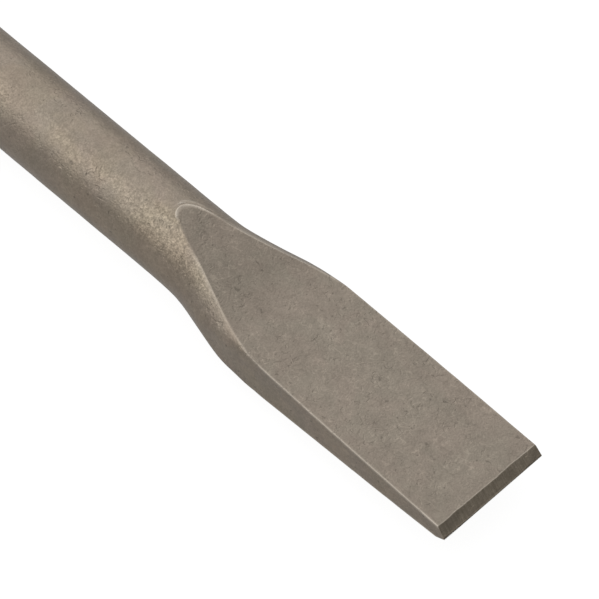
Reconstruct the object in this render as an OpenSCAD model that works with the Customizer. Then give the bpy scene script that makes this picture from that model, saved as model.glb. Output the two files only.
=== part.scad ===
// Narrow flat chisel for a light rotary hammer: one forged bar of steel.
// +X runs along the axis towards the cutting edge, Y is the blade's width,
// Z is up through the blade's two flat faces. The origin is the centre of
// the struck end face. All sizes are in millimetres.
// Every "dist" is measured back from the cutting edge, towards the struck end.

/* [Overall] */
// Length from the struck end to the cutting edge
total_len = 250; // [200:5:400]
// Diameter of the round bar
bar_d = 14; // [13:0.5:15]

/* [Shank] */
// Diameter of the slotted shank that enters the hammer
shank_d = 10; // [9.96:0.01:10]
// Length of the shank before it widens to the bar
shank_len = 50; // [46:1:56]
// Length of the cone from the shank to the bar
cone_len = 5; // [3:0.5:10]
// Chamfer round the struck end
end_chamfer = 1.0; // [0.5:0.1:1.5]
// Fillet radius at the foot of the shank
foot_r = 1.5; // [0.5:0.1:2]

/* [Drive grooves] */
// Width of the two open drive grooves
drive_w = 2.8; // [2.4:0.1:3.2]
// Depth of the drive grooves below the shank's surface
drive_depth = 1.5; // [1.2:0.1:1.7]
// Length of the drive grooves up to where they run out
drive_len = 26; // [22:1:28]
// Radius of the cutter that leaves the run-out
drive_cutter_r = 12; // [8:1:16]

/* [Locking grooves] */
// Radius of the locking ball that the closed grooves match
lock_ball_r = 3.5; // [3.2:0.1:3.6]
// Depth of the locking grooves
lock_depth = 1.6; // [1.3:0.1:1.8]
// Distance from the struck end to the near end of the locking grooves
lock_start = 8; // [7:0.5:9]
// End-to-end length of the locking grooves
lock_len = 20; // [18:0.5:21]

/* [Neck] */
// Distance from the cutting edge back to the point where the flat faces begin
apex_dist = 63.7; // [58:0.05:70]
// Distance from the cutting edge back to the knee between the two tapers
knee_dist = 45.1; // [43:0.1:50]
// Radius that softens the knee
knee_blend = 0.55; // [0.2:0.05:1.5]
// Half the thickness of the blade at the knee
knee_half_t = 3.76; // [3.2:0.02:4.4]
// How far each flat face bulges half way between the knee and its back end
face_crown = 0.07; // [0:0.01:0.3]
// Distance from the cutting edge back to the start of the flare
flare_dist = 56.9; // [54:0.1:60]
// Sideways widening of the neck for each millimetre of length
flare_slope = 0.3; // [0.26:0.01:0.36]
// Softness of the start of the flare
flare_blend = 2.4; // [1:0.1:4]
// How much the neck thins for each millimetre that it widens
neck_thinning = 0.19; // [0:0.005:0.3]

/* [Blade] */
// Width at the cutting edge
tip_w = 20.5; // [19:0.1:22]
// Width at the knee
root_w = 19.2; // [17:0.2:20]
// Half the thickness where the cutting bevels start
tip_half_t = 1.41; // [1:0.01:1.8]
// Width of the broken edge along the four long corners
edge_break = 0.3; // [0.1:0.05:0.5]

/* [Cutting edge] */
// Length of the bevel on the upper face
bevel_top = 1.45; // [1:0.05:2.5]
// Length of the bevel on the lower face
bevel_low = 1.75; // [1:0.05:2.5]
// Width of the flat land left on the cutting edge
edge_land = 0.14; // [0.05:0.01:0.3]
// Height of the cutting edge above the axis
edge_z = 0.04; // [-0.3:0.02:0.3]

/* [Hidden] */
$fn = 96;
steel = [0.55, 0.51, 0.47];
bar_r = bar_d / 2;
shank_r = shank_d / 2;
overrun = 1;                    // how far cutters and trimmed stock pass an end face

// Turned bar
seam_angle = 3;
shoulder_drop = 0.4;            // the cone stops this far below the bar's surface
shoulder_len = 0.6;             // length of the small chamfer that follows the cone

// Locking grooves: inset of the end spheres' centres
lock_inset = 0.78 * lock_ball_r;

// Neck loft
neck_dist = apex_dist + 2;      // the loft starts here, just behind the flat faces
blade_dist = 38;                // the loft ends here and a plain block takes over
neck_start_r = bar_r - 0.02;    // the loft starts slightly inside the bar
neck_steps = 28;                // intervals along the loft
neck_sides = 72;                // points round each station

// Profiles that trim the neck and blade
trim_dist = neck_dist + 5;      // back end of both profiles
knee_front_dist = knee_dist - 6; // the front taper is straight from here to the edge
face_steps = 24;                // intervals from there back to the apex
side_depth = 40;                // extrusion of the side view
plan_height = 20;               // extrusion of the plan view
blank_w = 30;
blank_h = 16;

// The larger of two values, rounded off where they cross
function soft_max(a, b, blend) = (a + b + sqrt(pow(a - b, 2) + blend * blend)) / 2;

// Half thickness of the blade: two straight tapers joined by a soft knee,
// the back one slightly crowned.
function front_taper(dist) =
    tip_half_t + (knee_half_t - tip_half_t) * (dist - bevel_top) / (knee_dist - bevel_top);
function back_share(dist) = (dist - knee_dist) / (apex_dist - knee_dist);
function back_taper(dist) = knee_half_t + (bar_r - knee_half_t) * back_share(dist);
function crown(dist) =
    let (share = max(0, min(1, back_share(dist))))
    4 * face_crown * share * (1 - share);
function half_t(dist) =
    soft_max(front_taper(dist), back_taper(dist), knee_blend) + crown(dist);

// Half width between the blade's flat sides
function half_w(dist) = (tip_w + (root_w - tip_w) * dist / knee_dist) / 2;

// Widening of the neck, and the half axes of its elliptical section
function flare(dist) = flare_slope * soft_max(flare_dist - dist, 0, flare_blend);
function widening(dist) = flare(dist) - flare(neck_dist);
function neck_y(dist) = neck_start_r + widening(dist);
function neck_z(dist) = neck_start_r - neck_thinning * widening(dist);

// Closed shaft: shank, cone and round bar, turned about X. The seam of the
// turned surface is set a little to one side of the lowest line, so that no
// corner of a faceted bar falls on that line.
module turned_bar() {
    cone_end = shank_len + cone_len;
    bar_end = total_len - neck_dist;
    // Columns: radius, distance from the struck end
    half_section = concat(
        [[0, 0], [shank_r - end_chamfer, 0], [shank_r, end_chamfer]],
        [for (angle = [0:15:45])
            [shank_r + foot_r * (1 - cos(angle)), shank_len - foot_r * (1 - sin(angle))]],
        [[bar_r - shoulder_drop, cone_end], [bar_r, cone_end + shoulder_len],
         [bar_r, bar_end], [0, bar_end]]);
    rotate([0, 90, 0]) rotate([0, 0, seam_angle])
        rotate_extrude() polygon(half_section);
}

// Open groove in the top of the shank, cut from the struck end, with the
// run-out of a disc cutter
module drive_groove() {
    floor_z = shank_r - drive_depth;
    translate([-overrun, -drive_w / 2, floor_z])
        cube([drive_len + overrun, drive_w, drive_depth + 2]);
    translate([drive_len, drive_w / 2, floor_z + drive_cutter_r]) rotate([90, 0, 0])
        cylinder(r = drive_cutter_r, h = drive_w);
}

// Closed groove in the top of the shank that the locking ball runs in
module lock_groove() {
    ball_z = shank_r - lock_depth + lock_ball_r;
    first_x = lock_start + lock_inset;
    last_x = lock_start + lock_len - lock_inset;
    translate([first_x, 0, ball_z]) rotate([0, 90, 0])
        cylinder(r = lock_ball_r, h = last_x - first_x);
    for (x = [first_x, last_x])
        translate([x, 0, ball_z]) sphere(r = lock_ball_r);
}

// The rounded neck: elliptical stations that spread in Y and thin in Z
module neck_loft() {
    points = [
        for (k = [0:neck_steps]) for (i = [0:neck_sides - 1])
            let (dist = neck_dist + (blade_dist - neck_dist) * k / neck_steps,
                 angle = 360 * i / neck_sides)
            [total_len - dist, neck_y(dist) * cos(angle), neck_z(dist) * sin(angle)]];
    sides = [
        for (k = [0:neck_steps - 1]) for (i = [0:neck_sides - 1])
            let (next = (i + 1) % neck_sides,
                 near = k * neck_sides,
                 far = near + neck_sides)
            [far + i, far + next, near + next, near + i]];
    back_end = [for (i = [0:neck_sides - 1]) i];
    front_end = [for (i = [neck_sides - 1:-1:0]) neck_steps * neck_sides + i];
    polyhedron(points = points, faces = concat(sides, [back_end, front_end]), convexity = 4);
}

// Outline of one face in side view, as [x, height], from the back to its bevel.
// Behind the apex it steps outside the bar, so the round neck stays whole there.
function face_outline(bevel) = concat(
    [[total_len - trim_dist, bar_r + 2], [total_len - apex_dist - 1, bar_r + 0.6]],
    [for (k = [face_steps:-1:0])
        let (dist = knee_front_dist + (apex_dist - knee_front_dist) * k / face_steps)
        [total_len - dist, half_t(dist)]],
    [[total_len - bevel, half_t(bevel)]]);

// Side view of the blade: both tapers, the knee and the two cutting bevels
module side_profile() {
    low = face_outline(bevel_low);
    outline = concat(
        face_outline(bevel_top),
        [for (side = [1, -1]) [total_len, edge_z + side * edge_land / 2]],
        [for (i = [len(low) - 1:-1:0]) [low[i][0], -low[i][1]]]);
    translate([0, side_depth / 2, 0]) rotate([90, 0, 0])
        linear_extrude(side_depth) polygon(outline);
}

// Plan view of the blade: two nearly parallel sides
module plan_profile() {
    back_x = total_len - trim_dist;
    front_x = total_len + overrun;
    back_y = half_w(trim_dist);
    front_y = half_w(-overrun);
    translate([0, 0, -plan_height / 2]) linear_extrude(plan_height)
        polygon([[back_x, -back_y], [front_x, -front_y], [front_x, front_y], [back_x, back_y]]);
}

// Cutter that breaks one long corner of the blade, upper +Y side. It lies
// along the corner and leaves the steel by itself where the neck rounds off.
module corner_cutter() {
    back_extra = 8;
    front_extra = 2;
    cutter_w = 6;
    cutter_h = 4;
    run = knee_front_dist - bevel_top;
    rise_y = half_w(knee_front_dist) - half_w(bevel_top);
    rise_z = half_t(knee_front_dist) - half_t(bevel_top);
    corner_len = sqrt(run * run + rise_y * rise_y + rise_z * rise_z);
    translate([total_len - bevel_top, half_w(bevel_top), half_t(bevel_top)])
        rotate([0, asin(rise_z / corner_len), atan(-rise_y / run)]) rotate([-45, 0, 0])
            translate([-corner_len - back_extra, -cutter_w / 2, -edge_break / 2])
                cube([corner_len + back_extra + front_extra, cutter_w, cutter_h]);
}

// Loft and plain block, trimmed to both views, with the long corners broken
module blade_and_neck() {
    difference() {
        intersection() {
            union() {
                neck_loft();
                translate([total_len - blade_dist, -blank_w / 2, -blank_h / 2])
                    cube([blade_dist + overrun, blank_w, blank_h]);
            }
            side_profile();
            plan_profile();
        }
        for (y = [0, 1], z = [0, 1])
            mirror([0, y, 0]) mirror([0, 0, z]) corner_cutter();
    }
}

// Drive grooves lie on the Y sides of the shank, locking grooves above and below
module forged_chisel() {
    color(steel) {
        difference() {
            turned_bar();
            for (angle = [90, 270]) rotate([angle, 0, 0]) drive_groove();
            for (angle = [0, 180]) rotate([angle, 0, 0]) lock_groove();
        }
        blade_and_neck();
    }
}

forged_chisel();
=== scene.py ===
"""A forged flat chisel with a grooved round shank, lying along X.

The end of the shank is at x = 0 and the cutting edge, which runs along Y, is
at the high-X end. The blade's flat faces look up and down. The chisel is
worked out in millimetres, the stage in metres. In the code, s is the
distance back from the cutting edge.
"""

import math

import bmesh
import bpy
import numpy as np
from mathutils import Matrix, Vector


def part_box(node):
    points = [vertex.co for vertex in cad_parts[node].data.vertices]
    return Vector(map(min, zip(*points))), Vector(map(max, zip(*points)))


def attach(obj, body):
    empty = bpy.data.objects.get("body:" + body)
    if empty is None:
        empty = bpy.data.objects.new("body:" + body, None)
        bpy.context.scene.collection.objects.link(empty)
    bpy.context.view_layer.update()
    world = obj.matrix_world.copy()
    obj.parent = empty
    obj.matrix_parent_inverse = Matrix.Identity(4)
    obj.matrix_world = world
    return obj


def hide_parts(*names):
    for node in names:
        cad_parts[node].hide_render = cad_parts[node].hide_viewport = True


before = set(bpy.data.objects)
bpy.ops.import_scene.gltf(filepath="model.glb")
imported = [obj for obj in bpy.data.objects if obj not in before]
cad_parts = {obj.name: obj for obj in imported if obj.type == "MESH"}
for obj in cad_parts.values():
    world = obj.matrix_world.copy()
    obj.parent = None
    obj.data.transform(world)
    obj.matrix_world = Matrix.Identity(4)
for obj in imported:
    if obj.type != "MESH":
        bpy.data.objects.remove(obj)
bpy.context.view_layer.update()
low_corner, high_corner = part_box("forged_chisel")

# Overall sizes
LENGTH = (high_corner.x - low_corner.x) * 1000
BAR_R = (high_corner.z - low_corner.z) * 500
TIP_W = (high_corner.y - low_corner.y) * 1000
# Turned shank, its foot fillet, the cone and the rounding on to the bar
SHANK_R, SHANK_LEN, CONE_LEN, END_CHAMFER, FOOT_R = 5.0, 50.0, 5.0, 1.0, 1.5
CONE_DROP, CONE_ROUND = 0.4, 0.45
CONE_END = SHANK_LEN + CONE_LEN
SIN_45 = 0.7071
# Open grooves on the +Y and -Y sides, ending in an arc of radius DRIVE_RUNOUT_R
DRIVE_W, DRIVE_DEPTH, DRIVE_LEN, DRIVE_RUNOUT_R = 2.8, 1.5, 26.0, 12.0
# Closed ball-nosed pockets on top and below
BALL_R, LOCK_DEPTH, LOCK_START, LOCK_LEN = 3.5, 1.6, 8.0, 20.0
LOCK_INSET = BALL_R * 0.78  # from the end of a pocket to the ball's centre
# Thickness: slow taper from the edge to the knee, steep one on to the apex
APEX, KNEE, KNEE_BLEND, KNEE_HALF_T, CROWN = 63.5, 45.1, 0.55, 3.76, 0.07
TIP_HALF_T = 1.41
FACE_END = APEX + 6
# Width: the bar flares out into the blade, thinning as it does
NECK = APEX + 2
FLARE, FLARE_SLOPE, FLARE_BLEND, THINNING = 56.9, 0.3, 2.4, 0.19
ROOT_W = 19.2
# Unevenness: the sides bow out, the root of the blade sits a little towards
# -Y, and the flare starts a little earlier on the lower side
SIDE_BOW, OFFSET, SHEAR = 0.1, -0.24, 0.11
# Cutting bevels and the land between them, low at its -Y end by EDGE_TILT
BEVEL_TOP, BEVEL_LOW, LAND, EDGE_Z, EDGE_TILT = 1.45, 1.75, 0.14, 0.04, 0.024
BEVEL_ZONE = 6
OUTSIDE = -9.0  # distance given to a surface where it doesn't cut


def half_t(s):
    """Half thickness of the blade between its flat faces."""
    a = TIP_HALF_T + (KNEE_HALF_T - TIP_HALF_T) * (s - BEVEL_TOP) / (KNEE - BEVEL_TOP)
    b = KNEE_HALF_T + (BAR_R - KNEE_HALF_T) * (s - KNEE) / (APEX - KNEE)
    t = np.clip((s - KNEE) / (APEX - KNEE), 0, 1)
    return (a + b + np.sqrt((a - b) ** 2 + KNEE_BLEND**2)) / 2 + 4 * CROWN * t * (1 - t)


def half_w(s):
    t = np.clip(s / KNEE, 0, 1.2)
    return (TIP_W + (ROOT_W - TIP_W) * t) / 2 + 4 * SIDE_BOW * t * (1 - t)


def smooth(x, start, end):
    """Smooth step from 0 at start to 1 at end."""
    t = np.clip((x - start) / (end - start), 0, 1)
    return t * t * (3 - 2 * t)


def bell(x, width):
    return np.exp(-((x / width) ** 2))


def sideways(s):
    return OFFSET * smooth(APEX - s, 0, 16) * np.clip(s / KNEE, 0, 1)


def soft(x):
    return (x + np.sqrt(x * x + FLARE_BLEND**2)) / 2


def turned_radius(x):
    """Radius of the shank, cone and bar, for x short of the neck."""
    r = np.where(x < END_CHAMFER, SHANK_R - END_CHAMFER + x, SHANK_R)
    foot = x - (SHANK_LEN - FOOT_R)
    turn = np.arcsin(np.clip(foot / FOOT_R, 0, SIN_45))
    r = np.where(foot > 0, SHANK_R + FOOT_R * (1 - np.cos(turn)), r)
    x1 = SHANK_LEN - FOOT_R * (1 - SIN_45)
    r1 = SHANK_R + FOOT_R * (1 - SIN_45)
    r2 = BAR_R - CONE_DROP
    r = np.where(x > x1, r1 + (r2 - r1) * (x - x1) / (CONE_END - x1), r)
    top = BAR_R - CONE_ROUND * np.exp(-(np.maximum(x - CONE_END, 0) / CONE_ROUND))
    return np.where(x > CONE_END, np.maximum(top, r2), r)


def neck_y(s):
    """Half axis of the neck's oval section along Y."""
    grow = FLARE_SLOPE * (soft(FLARE - s) - soft(FLARE - NECK))
    return BAR_R + np.maximum(grow, 0)


def neck_z(half_y):
    return BAR_R - THINNING * (half_y - BAR_R)


def lattice(ix, iy, iz, seed):
    """Hash of whole-number places to -1..1, the same on every run."""
    h = (
        ix.astype(np.uint64) * np.uint64(73856093)
        ^ iy.astype(np.uint64) * np.uint64(19349663)
        ^ iz.astype(np.uint64) * np.uint64(83492791)
        ^ np.uint64(seed * 2654435761 % (1 << 32))
    )
    h = (h ^ (h >> np.uint64(13))) * np.uint64(1274126177) & np.uint64(0xFFFFFFFF)
    h = (h ^ (h >> np.uint64(16))) * np.uint64(2246822519) & np.uint64(0xFFFFFFFF)
    return ((h >> np.uint64(7)) & np.uint64(0xFFFF)).astype(np.float64) / 32767.5 - 1


def noise(points, size, seed):
    """Smooth value noise in -1..1 with cells of the given size."""
    q = points / size + 1000.0  # the shift keeps cell numbers positive
    cell = np.floor(q)
    f = q - cell
    f = f * f * f * (f * (f * 6 - 15) + 10)
    cell = cell.astype(np.int64)
    total = 0
    for dx in (0, 1):
        for dy in (0, 1):
            for dz in (0, 1):
                weight = (
                    (f[..., 0] if dx else 1 - f[..., 0])
                    * (f[..., 1] if dy else 1 - f[..., 1])
                    * (f[..., 2] if dz else 1 - f[..., 2])
                )
                total = total + weight * lattice(
                    cell[..., 0] + dx, cell[..., 1] + dy, cell[..., 2] + dz, seed
                )
    return total


def intersect(a, b, radius):
    """Intersection of two solids given as distances, with a rounded edge."""
    u, v = np.maximum(a + radius, 0), np.maximum(b + radius, 0)
    return np.minimum(np.maximum(a, b), -radius) + np.hypot(u, v)


# The solid is a set of distance-like functions, below zero inside the steel.
def rim_height(s, y, z, ry, rz, half, slope):
    """Thin raised rim round the back end of each flat face."""
    back = np.minimum(s, FACE_END)
    ny, nz = y / ry**2, z / rz**2
    dot = -np.sign(z) * nz / (np.hypot(ny, nz) + 1e-9)
    tangent = np.sqrt(np.maximum(1 + slope**2 - dot**2, 1e-4))
    beyond = -(np.abs(z) - half) / tangent
    reach = np.where(y > 0, 4.2, 0.6)
    lip = np.exp(-(np.clip(APEX - back, 0, 60) / reach) ** 1.5)
    width = 0.19 + 0.008 * (APEX - back)
    rim = 0.17 * bell(beyond - 0.19, width) * lip * smooth(beyond, 0.0, 0.1)
    # a fainter ring outside the first, on the +Y side
    rim = rim + 0.04 * bell(beyond - 0.95, 0.2) * smooth(y, -0.5, 1.5) * lip
    return np.where((s < APEX + 4) & (s > KNEE - 6), rim, 0)


def bevel_distance(s, y, z):
    """Planes through the land, with a slightly wavy upper limit."""

    def wave(place, size, seed):
        spots = np.stack([np.full_like(y, place), y, np.sign(z) * 5], -1)
        return noise(spots, size, seed)

    waves = wave(3, size=1.7, seed=5) + 0.6 * wave(9, size=0.7, seed=6)
    edge_z = EDGE_Z - EDGE_TILT * (TIP_W / 2 - y)
    upper = z > edge_z
    run = np.where(upper, BEVEL_TOP, BEVEL_LOW) * (1 + 0.035 * waves)
    rise = np.where(upper, half_t(BEVEL_TOP) - edge_z, half_t(BEVEL_LOW) + edge_z) - LAND / 2
    k = rise / run
    off = np.where(upper, z - edge_z, edge_z - z) - LAND / 2
    return np.where(s < BEVEL_ZONE, (off - k * s) / np.sqrt(1 + k * k), OUTSIDE)


def roll_distances(s, y, z, half):
    """On the -Y side the flank rolls over into the side of the blade, and the
    roll runs on towards the tip along the top of the side."""
    back = np.minimum(s, FACE_END)
    ry = neck_y(back)
    w = half_w(back)
    y_top = ry * np.sqrt(np.maximum(1 - (half / neck_z(ry)) ** 2, 0))
    y_top = np.minimum(y_top, w - 0.04)
    z_start = np.clip((44.5 - back) * 0.467, -2.5, 2.6)
    t = np.clip((z - z_start) / (half - z_start), 0, 1.3)
    tilt = (0.45 * np.sqrt(t) + 3.5 * t**4) * (w - y_top) / (half - z_start)
    fall = (w - y_top) * (0.3 * t**1.5 + 0.7 * t**5)
    room = 0.3 * np.maximum(back - 45.5, 0) + 0.2 * np.maximum(38 - back, 0)
    roll = (-y - w + fall - room) / np.sqrt(1 + tilt**2)
    roll = np.where((s < 56) & (s > 34), roll, OUTSIDE)
    flank = -y - half_w(44.5) + 0.1 * (back - 44.5)
    flank = np.where((s > 44.5) & (s < 56), flank, OUTSIDE)
    return flank, roll


def groove_distance(x, y, z):
    """The grooves and pockets cut into the shank."""
    floor_y = SHANK_R - DRIVE_DEPTH
    arc = np.sqrt(np.maximum(DRIVE_RUNOUT_R**2 - (x - DRIVE_LEN) ** 2, 0))
    floor_y = np.where(x > DRIVE_LEN, floor_y + DRIVE_RUNOUT_R - arc, floor_y)
    drive = intersect(np.abs(z) - DRIVE_W / 2, floor_y - np.abs(y), 0.12)
    ball_z = SHANK_R - LOCK_DEPTH + BALL_R
    dx = x - np.clip(x, LOCK_START + LOCK_INSET, LOCK_START + LOCK_LEN - LOCK_INSET)
    lock = np.sqrt(dx**2 + y**2 + (np.abs(z) - ball_z) ** 2) - BALL_R
    return np.where(x < SHANK_LEN - 4, np.minimum(drive, lock), -OUTSIDE)


def steel(x, y, z):
    """Distance to the whole solid, then to its round, side, face and bevel
    surfaces, and the height of the rim."""
    s = LENGTH - x
    y = y - sideways(s)
    bar = turned_radius(x)
    front = s < NECK
    ry = np.where(front, neck_y(np.minimum(s + SHEAR * z, NECK)), bar)
    rz = np.where(front, neck_z(ry), bar)
    radius = np.hypot(y, z) + 1e-9
    oval = np.sqrt((y / ry) ** 2 + (z / rz) ** 2) + 1e-12

    back = np.minimum(s, FACE_END)
    half = half_t(back)
    slope = (half_t(back + 0.05) - half_t(back - 0.05)) / 0.1
    rim = rim_height(s, y, z, ry, rz, half, slope)
    # the round body bulges on its lower side, just round the knee
    bulge = 0.22 * bell(back - 45, 2.4) * smooth(-z, 0.5, 2.5)
    rounded = (1 - 1 / oval) * radius - rim - bulge
    face = (np.abs(z) - half) / np.sqrt(1 + slope**2)
    face = np.where(s < FACE_END, face, OUTSIDE)
    side = np.where(s < FACE_END, np.abs(y) - half_w(back), OUTSIDE)
    bevel = bevel_distance(s, y, z)
    flank, roll = roll_distances(s, y, z, half)

    body = intersect(rounded, side, 0.35)
    body = intersect(intersect(body, flank, 0.2), roll, 0.2)
    body = intersect(body, face, 0.02 + 0.1 * smooth(APEX - s, 8, 18))
    body = intersect(body, bevel, 0.05)
    body = intersect(body, -groove_distance(x, y, z), 0.15)
    return body, rounded, side, face, bevel, rim


# Grid of stations along the axis: start, end and step of each span
SPANS = [
    (0.0, 1.3, 0.11), (1.3, 7.0, 0.7), (7.0, 12.0, 0.25), (12.0, 23.0, 1.0),
    (23.0, 34.0, 0.25), (34.0, SHANK_LEN - 2, 1.2), (SHANK_LEN - 2, CONE_END + 2, 0.25),
    (CONE_END + 2, LENGTH - 112, 1.3), (LENGTH - 112, LENGTH - 68, 0.5),
    (LENGTH - 68, LENGTH - APEX - 1, 0.25), (LENGTH - APEX - 1, LENGTH - APEX + 5, 0.1),
    (LENGTH - APEX + 5, LENGTH - 38, 0.17), (LENGTH - 38, LENGTH - 3, 0.27),
    (LENGTH - 3, LENGTH, 0.075),
]
FACE_LINES, SIDE_LINES = 112, 44  # lines across a flat face, and across a side
LINES = 2 * (FACE_LINES + SIDE_LINES)


def stations():
    xs = [0.0]
    for start, end, step in SPANS:
        n = max(1, round((end - start) / step))
        xs += [start + (end - start) * (i + 1) / n for i in range(n)]
    xs[-1] = LENGTH
    return np.array(xs)


def spread(n, pull):
    """n + 1 places from -1 to 1, closer together near both ends."""
    t = np.linspace(-1, 1, n + 1)
    return t * (1 - pull) + pull * np.sin(t * np.pi / 2)


def shank_side_angles(corner):
    """Lines across a side of the shank gather at the walls of the groove."""
    wall = math.asin(DRIVE_W / 2 / SHANK_R)
    outer, inner = wall + 0.09, wall - 0.07
    knots = [-corner, -outer, -inner, inner, outer, corner]
    parts = [
        np.linspace(a, b, n + 1)[:-1]
        for a, b, n in zip(knots, knots[1:], (12, 6, 8, 6, 12))
    ]
    return np.concatenate(parts + [[corner]])


def line_angles(xs):
    """Angle of each line round the section at each station, from +Y."""
    s = (LENGTH - xs)[:, None]
    ry = np.where(s < NECK, neck_y(s), BAR_R)
    rz = neck_z(ry)
    half = np.minimum(half_t(np.minimum(s, FACE_END)), rz * 0.999)
    # corner between face and side, kept from closing in on the axis
    least_y = 4.2
    yc = np.minimum(ry * np.sqrt(np.maximum(1 - (half / rz) ** 2, 0)), half_w(s))
    yc = (yc + least_y + np.sqrt((yc - least_y) ** 2 + 1.5)) / 2
    yc = np.where(s > FACE_END, least_y + 0.45, yc)
    yc = np.minimum(yc, half_w(s))
    zc = np.minimum(half, rz * np.sqrt(np.maximum(1 - (yc / ry) ** 2, 0)))
    # the corner follows the bevel planes down to the edge
    k = (half_t(BEVEL_TOP) - EDGE_Z - LAND / 2) / BEVEL_TOP
    zc = np.where(s < BEVEL_TOP, np.minimum(zc, EDGE_Z + LAND / 2 + k * s), zc)
    side = np.arctan2(zc * spread(SIDE_LINES, 0.5), yc)
    upper = np.arctan2(zc, -yc * spread(FACE_LINES, 0.7))

    corner = math.radians(55)
    shank_upper = np.linspace(corner, math.pi - corner, FACE_LINES + 1)
    blend = smooth(xs, SHANK_LEN, CONE_END + 3)[:, None]
    side = shank_side_angles(corner) * (1 - blend) + side * blend
    upper = shank_upper * (1 - blend) + upper * blend
    side, upper = side[:, :-1], upper[:, :-1]
    return np.concatenate([side, upper, math.pi + side, math.pi + upper], 1)


def find_skin(xs, angles):
    """Halve outwards along every line until the surface is pinned down."""
    x = np.repeat(xs[:, None], LINES, 1)
    cos, sin = np.cos(angles), np.sin(angles)
    near, far = np.zeros_like(x), np.full_like(x, 16.0)
    for _ in range(34):
        middle = (near + far) / 2
        inside = steel(x, middle * cos, middle * sin)[0] < 0
        near = np.where(inside, middle, near)
        far = np.where(inside, far, middle)
    radius = (near + far) / 2
    return np.stack([x, radius * cos, radius * sin], -1)


def outward_normals(skin):
    along = np.gradient(skin, axis=0)
    around = np.roll(skin, -1, 1) - np.roll(skin, 1, 1)
    n = np.cross(around, along)
    n /= np.linalg.norm(n, axis=-1, keepdims=True) + 1e-12
    out = np.sign(n[..., 1] * skin[..., 1] + n[..., 2] * skin[..., 2])
    return n * np.where(out == 0, 1, out)[..., None]


def surface_masks(skin):
    """Masks from 0 to 1 that the material reads."""
    x, y, z = skin[..., 0], skin[..., 1], skin[..., 2]
    s = LENGTH - x
    _, rounded, side, face, bevel, rim = steel(x, y, z)
    other = np.maximum(side, rounded)
    on_bevel = smooth(bevel - np.maximum(face, side), -0.05, 0.02) * (s < BEVEL_ZONE)

    # bright edges, partly wear and partly painted highlight, stronger on the -Y side and near
    # the tip: their reach from the corner and their strength
    minus_y = y < 0
    root = smooth(s, 40, 46)
    off_face = np.where(minus_y, 0.28, 0.22 + 0.3 * root)
    reach = np.where(face > other, 0.17 - 0.13 * root, off_face)
    wear_and_glint_minus = 0.7 - 0.5 * smooth(s, 37, 43) + 0.1 * smooth(s, 46, 52)
    wear_and_glint = np.where(minus_y, wear_and_glint_minus, 0.45 + 0.25 * root)
    wear_and_glint = wear_and_glint + 0.35 * minus_y * (1 - smooth(s, 3.0, 7.0))
    face_wear_and_glint = bell(np.abs(face) + np.abs(other), reach) * wear_and_glint * smooth(APEX - s, 4, 9)
    bevel_wear_and_glint = bell(np.abs(bevel) + np.abs(face), 0.07) * (s < BEVEL_ZONE)
    # the raised rim is painted bright as well: a painted highlight along its lip
    edge = np.clip(np.maximum(np.maximum(face_wear_and_glint, bevel_wear_and_glint), rim / 0.12), 0, 1)

    flat = smooth(face - other, -0.15, 0.1) * (s < APEX + 2)
    # coarser skin with painted sheen on the upper -Y flank of the neck and, fainter, along the
    # bar, where the highlight falls
    coarse_and_sheen = smooth(s, 46, 53) * (1 - 0.9 * smooth(s, 65, 73)) * smooth(-y, 0.5, 2.2)
    coarse_and_sheen = coarse_and_sheen * smooth(z, 2.6, 4.6) * (1 - flat)
    sheen_band = 0.8 * bell(y + 3.6, 1.5) * smooth(s, 62, 68) * (z > 0)
    sheen_band = sheen_band * (1 - smooth(s, 120, 150)) * smooth(noise(skin, 4.0, seed=21), -0.7, 0.3)
    return {
        "bevel": on_bevel,
        "edge": edge,
        "flat": flat,
        "ground": smooth(SHANK_LEN - x, -4, 2),
        "coarse_and_sheen": np.maximum(coarse_and_sheen, sheen_band),
    }


def forging_relief(skin, xs, angles):
    """Long swells, shallow dimples and a few pits; none on shank or edge."""
    x = skin[..., 0]
    s = LENGTH - x
    swell = 0.03 * noise(skin, 13.0, seed=1) + 0.02 * noise(skin, 5.5, seed=2)
    dimple = 0.012 * noise(skin, 2.1, seed=3) + 0.006 * noise(skin, 0.9, seed=4)
    pits = np.zeros_like(x)
    rng = np.random.default_rng(11)
    for _ in range(90):
        pit_x = LENGTH - rng.uniform(3, 150)
        pit_angle = rng.uniform(0, 2 * math.pi)
        pit_r = rng.uniform(0.22, 0.4)
        depth = rng.uniform(0.03, 0.09)
        j = int(np.argmin(np.abs(xs - pit_x)))
        turn = ((angles[j] - pit_angle + math.pi) % (2 * math.pi)) - math.pi
        centre = skin[j, int(np.argmin(np.abs(turn)))]
        rows = slice(max(0, j - 14), j + 15)
        away = np.linalg.norm(skin[rows] - centre, axis=-1)
        pits[rows] += depth * np.exp(-((away / pit_r) ** 2) * 1.5)
    fade = smooth(x, 46, 58) * smooth(s, 0.2, 3.5)
    return np.where(s < 0.3, 0, (swell + dimple - pits) * fade)


END_RINGS = [0.82, 0.62, 0.42, 0.22]  # rings on the shank's end, as parts of its radius


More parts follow.
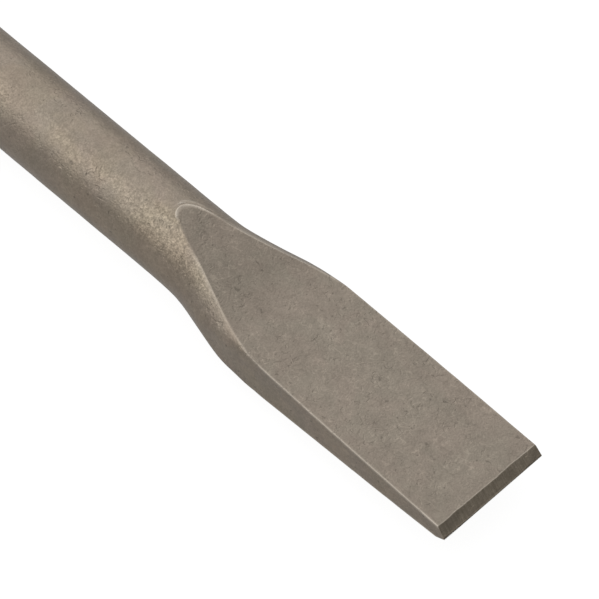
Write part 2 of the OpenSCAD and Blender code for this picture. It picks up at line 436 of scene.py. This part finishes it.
def build_mesh(skin):
    """Mesh of the skin, the shank's end and the land, and all its points."""
    around = np.arange(LINES)
    onward = (around + 1) % LINES
    points = [skin.reshape(-1, 3)]
    quads = []
    for j in range(len(skin) - 1):
        a, b = j * LINES, (j + 1) * LINES
        quads.append(np.stack([a + around, b + around, b + onward, a + onward], 1))
    # the end of the shank, very slightly uneven
    base = len(skin) * LINES
    outer = around
    for k, part in enumerate(END_RINGS):
        ring = skin[0].copy()
        ring[:, 1:] *= part
        ring[:, 0] = 0.004 * noise(ring, 1.3, seed=9)
        points.append(ring)
        inner = base + k * LINES + around
        quads.append(np.stack([outer, outer[onward], inner[onward], inner], 1))
        outer = inner
    centre = base + len(END_RINGS) * LINES
    points.append(np.zeros((1, 3)))
    fan = np.stack([np.full(LINES, centre), outer, outer[onward]], 1)
    # the land: upper line joined to lower line, and a face at either end
    last = base - LINES
    half_turn = SIDE_LINES + FACE_LINES
    upper = last + np.arange(SIDE_LINES, half_turn + 1)
    lower = last + (np.arange(half_turn + SIDE_LINES, LINES + 1) % LINES)[::-1]
    land = np.stack([upper[:-1], upper[1:], lower[1:], lower[:-1]], 1)
    plus_y = last + np.arange(SIDE_LINES + 1)
    minus_y = last + half_turn + np.arange(SIDE_LINES + 1)

    points = np.concatenate(points) / 1000.0
    polygons = np.concatenate(quads).tolist() + fan.tolist() + land.tolist()
    polygons += [plus_y.tolist(), minus_y.tolist()]
    mesh = bpy.data.meshes.new("chisel_forging")
    mesh.from_pydata(points.tolist(), [], polygons)
    mesh.validate()
    return mesh, points


def clean(mesh):
    bm = bmesh.new()
    bm.from_mesh(mesh)
    bmesh.ops.remove_doubles(bm, verts=bm.verts, dist=2e-7)
    bmesh.ops.recalc_face_normals(bm, faces=bm.faces)
    bm.to_mesh(mesh)
    bm.free()


def store_masks(mesh, points, masks):
    """Cleaning may drop a few points, so masks are laid on by position."""
    kept = np.zeros(len(mesh.vertices) * 3, np.float32)
    mesh.vertices.foreach_get("co", kept)
    index = {}
    for i, p in enumerate(map(tuple, points.astype(np.float32).tolist())):
        index.setdefault(p, i)
    order = np.array([index.get(p, 0) for p in map(tuple, kept.reshape(-1, 3).tolist())])
    for name, grid in masks.items():
        end = np.full(len(points) - grid.size, 1.0 if name == "ground" else 0.0)
        full = np.concatenate([grid.reshape(-1), end])
        layer = mesh.attributes.new(name, "FLOAT", "POINT")
        layer.data.foreach_set("value", full[order].astype(np.float32))


def build_chisel():
    xs = stations()
    angles = line_angles(xs)
    skin = find_skin(xs, angles)
    masks = surface_masks(skin)
    push = forging_relief(skin, xs, angles)
    skin = skin + outward_normals(skin) * push[..., None]
    mesh, points = build_mesh(skin)
    chisel = bpy.data.objects.new("chisel_forging", mesh)
    bpy.context.scene.collection.objects.link(chisel)
    clean(mesh)
    store_masks(mesh, points, masks)
    for polygon in mesh.polygons:
        polygon.use_smooth = True
    return chisel


class Nodes:
    """Short calls for building the node tree of a material or world."""

    def __init__(self, owner):
        owner.use_nodes = True
        self.tree = owner.node_tree
        self.tree.nodes.clear()

    def feed(self, socket, value):
        """Link an output, or set a plain value; None leaves the default."""
        if value is None:
            return
        if hasattr(value, "is_output"):
            self.tree.links.new(value, socket)
        elif socket.type == "RGBA":
            socket.default_value = (*value, 1.0)
        else:
            socket.default_value = value

    def add(self, kind, inputs=None, **settings):
        node = self.tree.nodes.new(kind)
        for name, value in settings.items():
            setattr(node, name, value)
        for name, value in (inputs or {}).items():
            self.feed(node.inputs[name], value)
        return node

    def math(self, op, a, b=None, clamp=False):
        node = self.add("ShaderNodeMath", {0: a, 1: b}, operation=op, use_clamp=clamp)
        return node.outputs[0]

    def times(self, a, b):
        return self.math("MULTIPLY", a, b)

    def plus(self, a, b, clamp=False):
        return self.math("ADD", a, b, clamp)

    def without(self, mask):
        return self.math("SUBTRACT", 1.0, mask, clamp=True)

    def mix(self, fac, a, b, kind="MIX"):
        inputs = {0: fac, 6: a, 7: b}
        node = self.add("ShaderNodeMix", inputs, data_type="RGBA", blend_type=kind)
        return node.outputs[2]

    def tint(self, colour, by):
        return self.mix(1.0, colour, by, "MULTIPLY")

    def scaled(self, colour, k):
        """Lighter or darker, with a trace of warmth as it lightens."""
        return self.tint(colour, (k, k * 0.998, k * 0.995))

    def ramp(self, value, start, end, low=0, high=1, kind="SMOOTHSTEP"):
        """Map start..end to low..high."""
        inputs = {
            "From Min": start, "From Max": end, "To Min": low, "To Max": high, "Value": value,
        }
        return self.add("ShaderNodeMapRange", inputs, interpolation_type=kind).outputs["Result"]

    def noise(self, coord, scale, detail=2.0, rough=0.5, distort=0.0):
        inputs = {
            "Scale": scale, "Detail": detail, "Roughness": rough,
            "Distortion": distort, "Vector": coord,
        }
        return self.add("ShaderNodeTexNoise", inputs).outputs["Fac"]

    def speckle(self, base, noise, amount):
        """Lighten and darken by a noise; the amount is a value or a socket."""
        swing = self.ramp(noise, start=0.36, end=0.70, low=-0.85, high=1.15)
        k = self.plus(self.times(swing, amount), 1.0)
        grey = self.add("ShaderNodeCombineXYZ", {0: k, 1: k, 2: k})
        return self.tint(base, grey.outputs[0])

    def mask(self, name):
        return self.add("ShaderNodeAttribute", attribute_name=name).outputs["Fac"]

    def bump(self, height, strength, below=None, fade=None, invert=False):
        inputs = {
            "Strength": strength, "Distance": 0.00006, "Height": height, "Normal": below,
        }
        node = self.add("ShaderNodeBump", inputs, invert=invert)
        if fade is not None:
            self.feed(node.inputs["Strength"], self.times(fade, strength))
        return node.outputs["Normal"]


def blasted_steel():
    """Matt shot-blasted steel, with a darker ground bevel."""
    material = bpy.data.materials.new("shot_blasted_steel")
    m = Nodes(material)
    place = m.add("ShaderNodeNewGeometry").outputs["Position"]
    bevel, edge, face, shank, coarse_and_sheen = map(m.mask, ("bevel", "edge", "flat", "ground", "coarse_and_sheen"))
    off_face = m.without(face)

    def noise(scale, **more):
        return m.noise(place, scale, **more)

    blotch = noise(160, distort=0.4)
    mottle = noise(560, distort=0.8)
    fine = noise(1500, rough=0.6, distort=0.6)
    grain = noise(3300, rough=0.65)
    patch = noise(300, detail=1.0, distort=0.5)

    def marks(scale, width, distort, shift):
        """Short thin curved marks where a noise crosses its middle value."""
        offset = (shift, shift * 0.37, -shift * 0.61)
        moved = m.add("ShaderNodeVectorMath", {0: place, 1: offset}, operation="ADD")
        n = m.noise(moved.outputs[0], scale, detail=1.0, distort=distort)
        n = m.math("ABSOLUTE", m.math("SUBTRACT", n, 0.5))
        return m.ramp(n, start=0.0, end=width, low=1, high=0)

    def by_skin(plain, on_round, on_coarse_and_sheen):
        """Speckle amount, greater off the flat faces and on the coarser skin, where the speckle
        also stands in for painted glints.
        """
        return m.plus(m.times(off_face, on_round), m.plus(m.times(coarse_and_sheen, on_coarse_and_sheen), plain))

    bar_steel, face_steel = (0.396, 0.336, 0.274), (0.367, 0.317, 0.261)
    base = m.mix(face, bar_steel, face_steel)
    for cloud, start, end in ((blotch, 0.35, 0.65), (mottle, 0.36, 0.64)):
        base = m.mix(m.ramp(cloud, start, end), m.scaled(base, 0.96), m.scaled(base, 1.04))
    # painted sheen: the coarser skin is also lightened where the highlight falls
    base = m.mix(coarse_and_sheen, base, m.tint(base, (1.07, 1.07, 1.03)))
    base = m.speckle(base, fine, by_skin(plain=0.034, on_round=0.03, on_coarse_and_sheen=0.10))
    base = m.speckle(base, grain, by_skin(plain=0.066, on_round=0.025, on_coarse_and_sheen=0.14))

    # light and dark marks, in different patches of the flat faces
    where = m.ramp(patch, start=0.42, end=0.6)
    light = marks(540, width=0.042, distort=1.4, shift=0.0)
    light = m.times(light, m.times(where, face))
    base = m.mix(m.times(light, 0.8), base, m.scaled(base, 1.28))
    where = m.ramp(patch, start=0.40, end=0.58, low=1, high=0)
    dim = marks(480, width=0.04, distort=1.5, shift=0.31)
    dim = m.times(dim, m.times(where, face))
    base = m.mix(m.times(dim, 0.7), base, m.scaled(base, 0.79))

    # drifts of hue, then dark pits, and bright edges that are partly wear and partly painted
    # highlight
    tan = m.times(m.ramp(noise(120, distort=0.6), start=0.42, end=0.60), off_face)
    base = m.mix(tan, base, m.tint(base, (1.022, 1.015, 0.985)))
    warm = m.ramp(noise(190, distort=0.6), start=0.34, end=0.66)
    cool_base = m.tint(base, (0.992, 1.0, 0.998))
    base = m.mix(warm, cool_base, m.tint(base, (1.018, 0.998, 1.004)))
    pits = m.ramp(noise(1150, detail=1.0, distort=0.3), start=0.70, end=0.77)
    base = m.mix(m.times(pits, 0.55), base, (0.17, 0.145, 0.12))
    # painted highlight, partly real wear: the bright edge colour
    base = m.mix(m.times(edge, 0.9), base, (0.84, 0.75, 0.64))

    # painted shade: the steep back part of the faces is a little darker, as it tilts away from
    # the light
    axes = m.add("ShaderNodeSeparateXYZ", {0: place}).outputs
    back = m.times(m.ramp(axes[0], start=0.2085, end=0.2015), face)
    base = m.mix(m.times(back, m.without(edge)), base, m.scaled(base, 0.94))

    # ground bevel: darker, browner, with grinding lines square to the edge
    stretch = m.add("ShaderNodeMapping", {"Scale": (120, 2600, 120), "Vector": place})
    lines = m.noise(stretch.outputs["Vector"], 1.0, detail=3.0, rough=0.6)
    lines = m.ramp(lines, start=0.35, end=0.65)
    dark = m.mix(lines, (0.310, 0.262, 0.200), (0.378, 0.322, 0.252))
    stain = m.ramp(noise(420, rough=0.6, distort=0.8), start=0.35, end=0.7)
    dark = m.mix(stain, m.scaled(dark, 1.07), m.scaled(dark, 0.86))
    base = m.mix(bevel, base, m.speckle(dark, grain, amount=0.06))

    rough = m.ramp(mottle, start=0.3, end=0.7, low=0.29, high=0.36)
    rough = m.plus(rough, m.times(face, 0.05))
    rough = m.plus(rough, m.times(bevel, -0.05))
    rough = m.plus(rough, m.times(shank, -0.08), clamp=True)

    # smoother skin low on the flanks, and small dents in clusters
    height = m.plus(axes[2], m.times(axes[1], 0.35))
    calm = m.ramp(height, start=0.0005, end=-0.0025, low=1.0, high=0.5)
    normal = m.bump(grain, strength=0.9, fade=calm)
    normal = m.bump(fine, strength=0.6, below=normal, fade=calm)
    dents = m.ramp(noise(850, detail=1.0, distort=0.7), start=0.575, end=0.68)
    clusters = m.ramp(noise(210, detail=1.0, distort=0.3), start=0.42, end=0.58)
    normal = m.bump(m.times(dents, clusters), strength=0.8, below=normal, invert=True)

    shader = m.add("ShaderNodeBsdfPrincipled", {
        "Metallic": 0.9, "Base Color": base, "Roughness": rough, "Normal": normal,
    })
    m.add("ShaderNodeOutputMaterial", {"Surface": shader.outputs["BSDF"]})
    return material


def pale_floor():
    """Near white to the camera, dimmer to the light that falls on the steel."""
    material = bpy.data.materials.new("pale_floor")
    m = Nodes(material)

    def glowing(diffuse, glow):
        dull = m.add("ShaderNodeBsdfDiffuse", {"Color": diffuse})
        even = m.add("ShaderNodeEmission", {"Color": (1, 1, 1), "Strength": glow})
        return dull.outputs[0], even.outputs[0]

    dull, even = glowing(diffuse=(0.20, 0.20, 0.198), glow=0.30)
    unseen = m.add("ShaderNodeAddShader", {0: dull, 1: even})
    dull, even = glowing(diffuse=(0.22, 0.22, 0.22), glow=0.92)
    seen = m.add("ShaderNodeAddShader", {0: even, 1: dull})
    to_camera = m.add("ShaderNodeLightPath").outputs["Is Camera Ray"]
    pick = m.add(
        "ShaderNodeMixShader", {0: to_camera, 1: unseen.outputs[0], 2: seen.outputs[0]}
    )
    m.add("ShaderNodeOutputMaterial", {"Surface": pick.outputs[0]})
    return material


def build_floor():
    half = 3.0
    z = low_corner.z - 0.0002
    mesh = bpy.data.meshes.new("floor")
    corners = [(-half, -half, z), (half, -half, z), (half, half, z), (-half, half, z)]
    mesh.from_pydata(corners, [], [(0, 1, 2, 3)])
    floor = bpy.data.objects.new("floor", mesh)
    bpy.context.scene.collection.objects.link(floor)
    mesh.materials.append(pale_floor())


def build_world():
    """A white tent: even overhead, dimmer near the table and towards its open
    end beyond the cutting edge."""
    world = bpy.data.worlds.new("soft_room")
    bpy.context.scene.world = world
    w = Nodes(world)
    generated = w.add("ShaderNodeTexCoord").outputs["Generated"]
    axes = w.add("ShaderNodeSeparateXYZ", {0: generated}).outputs
    dome = w.ramp(axes["Z"], start=0.08, end=0.5, low=0.5, high=1.0)
    along = w.ramp(axes["X"], start=-0.9, end=0.8, low=1.275, high=0.30, kind="LINEAR")
    dome = w.times(dome, w.math("MAXIMUM", along, 0.45))
    dome = w.times(dome, 1.05)
    to_camera = w.add("ShaderNodeLightPath").outputs["Is Camera Ray"]
    seen_strength = 1.25
    inputs = {0: to_camera, 2: dome, 3: seen_strength}
    strength = w.add("ShaderNodeMix", inputs, data_type="FLOAT").outputs[0]
    background = w.add("ShaderNodeBackground", {"Strength": strength})
    w.add("ShaderNodeOutputWorld", {"Surface": background.outputs[0]})


def build_light():
    """A weak square softbox above the -Y side, aimed a little past mid-length."""
    data = bpy.data.lights.new("key_softbox", "AREA")
    data.shape = "RECTANGLE"
    data.size = data.size_y = 0.8
    data.energy = 0.5
    light = bpy.data.objects.new("key_softbox", data)
    light.location = (-0.45, -0.75, 1.1)
    target = Vector(((low_corner.x + high_corner.x) / 2 + 0.06, 0, 0))
    aim = target - Vector((-0.45, -0.75, 1.1))
    light.rotation_euler = aim.to_track_quat("-Z", "Y").to_euler()
    bpy.context.scene.collection.objects.link(light)


def build_camera():
    """A long lens looking down from beyond the cutting edge, on the -Y side."""
    right = (0.717665, 0.693895, 0.058889)
    up = (-0.593195, 0.564831, 0.57366)
    backward = (0.364796, -0.446627, 0.816974)
    spot = (high_corner.x + 0.3035218, -0.4199606, 0.7767184)
    data = bpy.data.cameras.new("camera")
    camera = bpy.data.objects.new("camera", data)
    bpy.context.scene.collection.objects.link(camera)
    camera.matrix_world = Matrix([*zip(right, up, backward, spot), (0, 0, 0, 1)])
    data.sensor_fit = "HORIZONTAL"
    data.sensor_width = 36.0
    data.lens = 390.6510851
    data.clip_start, data.clip_end = 0.01, 20
    bpy.context.scene.camera = camera


chisel = build_chisel()
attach(chisel, "root")
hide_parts("forged_chisel")
chisel.data.materials.append(blasted_steel())

build_floor()
build_world()
build_light()
build_camera()
bpy.context.scene.view_settings.view_transform = "Standard"

bpy.context.view_layer.update()
